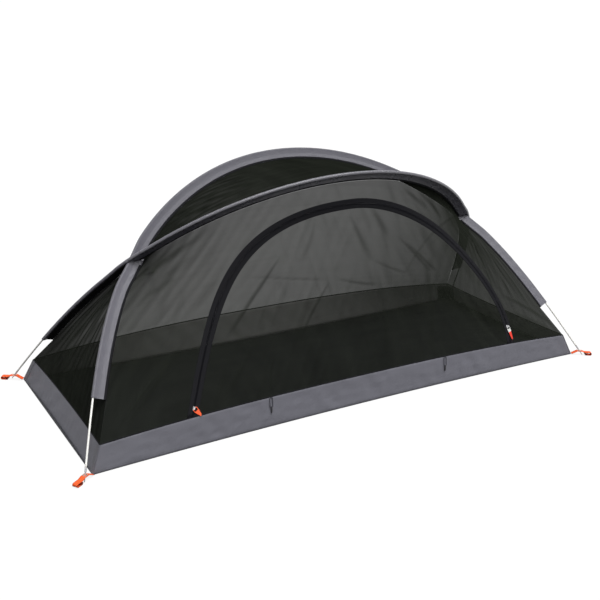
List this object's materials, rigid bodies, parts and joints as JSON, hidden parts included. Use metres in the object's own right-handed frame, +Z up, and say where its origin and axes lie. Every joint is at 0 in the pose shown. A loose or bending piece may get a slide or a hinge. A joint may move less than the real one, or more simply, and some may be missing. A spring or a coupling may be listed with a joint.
{
  "type": "mosquito net tent",
  "caption": "Free-standing mosquito net tent with crossed hoops in sleeves, a zipped arched net door and a tray-shaped floor.",
  "frame": {"origin": "on the ground under the middle of the floor", "axes": "+X along the floor from the picture's near left corner to its near right corner, -Y out of the side with the zipped door, +Z up"},
  "size_m": [2.3604, 0.9648, 0.885],
  "materials": {
    "grey_fabric": "coated woven polyester, dark grey",
    "black_fabric": "coated woven polyester, near black",
    "black_net": "fine knitted mesh, black, see-through",
    "black_tape": "coil zip on woven tape, black",
    "sleeve_fabric": "thin woven polyester, dark grey with a slight violet sheen",
    "pole_glassfibre": "smooth glass-fibre rod, off-white",
    "ferrule_steel": "drawn steel",
    "cord_elastic": "braided elastic cord",
    "orange_webbing": "woven webbing, orange",
    "eyelet_steel": "pressed eyelet, dull metal",
    "slider_metal": "cast slider, dark grey",
    "orange_pull": "moulded tab, orange-red",
    "tie_cord": "braided cord, grey",
    "toggle_plastic": "moulded, black"
  },
  "bodies": {
    "shelter": {"groundsheet": "black_fabric", "wall_front": "grey_fabric", "wall_rear": "grey_fabric", "wall_left_end": "grey_fabric", "wall_right_end": "grey_fabric", "corner_pocket": "black_fabric", "net_front_surround": "black_net", "net_rear": "black_net", "net_left_end": "black_net", "net_right_end": "black_net", "net_roof": "black_net", "zip_tape_frame": "black_tape", "rear_pole_section_1": "pole_glassfibre", "rear_pole_section_2": "pole_glassfibre", "rear_pole_section_3": "pole_glassfibre", "rear_pole_section_4": "pole_glassfibre", "rear_pole_section_5": "pole_glassfibre", "rear_pole_ferrule_1": "ferrule_steel", "rear_pole_ferrule_2": "ferrule_steel", "rear_pole_ferrule_3": "ferrule_steel", "rear_pole_ferrule_4": "ferrule_steel", "rear_shock_cord": "cord_elastic", "rear_pole_tip_left": "ferrule_steel", "rear_pole_tip_right": "ferrule_steel", "rear_sleeve_left_leg": "sleeve_fabric", "rear_sleeve_arch": "sleeve_fabric", "rear_sleeve_right_leg": "sleeve_fabric", "front_pole_section_1": "pole_glassfibre", "front_pole_section_2": "pole_glassfibre", "front_pole_section_3": "pole_glassfibre", "front_pole_section_4": "pole_glassfibre", "front_pole_section_5": "pole_glassfibre", "front_pole_ferrule_1": "ferrule_steel", "front_pole_ferrule_2": "ferrule_steel", "front_pole_ferrule_3": "ferrule_steel", "front_pole_ferrule_4": "ferrule_steel", "front_shock_cord": "cord_elastic", "front_pole_tip_left": "ferrule_steel", "front_pole_tip_right": "ferrule_steel", "front_sleeve_left_leg": "sleeve_fabric", "front_sleeve_arch": "sleeve_fabric", "front_sleeve_right_leg": "sleeve_fabric", "strap_front_left": "orange_webbing", "eyelet_front_left": "eyelet_steel", "strap_front_right": "orange_webbing", "eyelet_front_right": "eyelet_steel", "strap_rear_left": "orange_webbing", "eyelet_rear_left": "eyelet_steel", "strap_rear_right": "orange_webbing", "eyelet_rear_right": "eyelet_steel", "tie_loop_left": "tie_cord", "tie_loop_right": "tie_cord"},
    "door": {"net_door": "black_net", "zip_tape_door": "black_tape"},
    "slider_left": {"zip_slider_left": "slider_metal"},
    "slider_right": {"zip_slider_right": "slider_metal"},
    "pull_left": {"zip_pull_left": "orange_pull"},
    "pull_right": {"zip_pull_right": "orange_pull"},
    "toggle_left": {"toggle_left": "toggle_plastic"},
    "toggle_right": {"toggle_right": "toggle_plastic"}
  },
  "joints": [
    {"name": "door_fold", "type": "hinge", "parent": "shelter", "child": "door", "pos_m": [0, -0.3955, 0.107], "axis": [1, 0, 0], "range_deg": [0, 110]},
    {"name": "slider_left_run", "type": "slide", "parent": "door", "child": "slider_left", "axis": [0.3981, 0.4062, 0.8225], "range_m": [0, 0.1]},
    {"name": "pull_left_swing", "type": "hinge", "parent": "slider_left", "child": "pull_left", "pos_m": [-0.71344, -0.3828, 0.13526], "axis": [-0.8228, -0.2361, -0.5169], "range_deg": [0, 160]},
    {"name": "toggle_left_swing", "type": "hinge", "parent": "shelter", "child": "toggle_left", "pos_m": [-0.414, -0.3976, 0.07688], "axis": [-1, 0, 0], "range_deg": [0, 75]},
    {"name": "slider_right_run", "type": "slide", "parent": "door", "child": "slider_right", "axis": [-0.1359, 0.5016, 0.8544], "range_m": [0, 0.1]},
    {"name": "pull_right_swing", "type": "hinge", "parent": "slider_right", "child": "pull_right", "pos_m": [0.76171, -0.35941, 0.17064], "axis": [-0.9876, -0.1454, -0.0592], "range_deg": [0, 160]},
    {"name": "toggle_right_swing", "type": "hinge", "parent": "shelter", "child": "toggle_right", "pos_m": [0.397, -0.39742, 0.07713], "axis": [-1, 0, 0], "range_deg": [0, 75]}
  ]
}
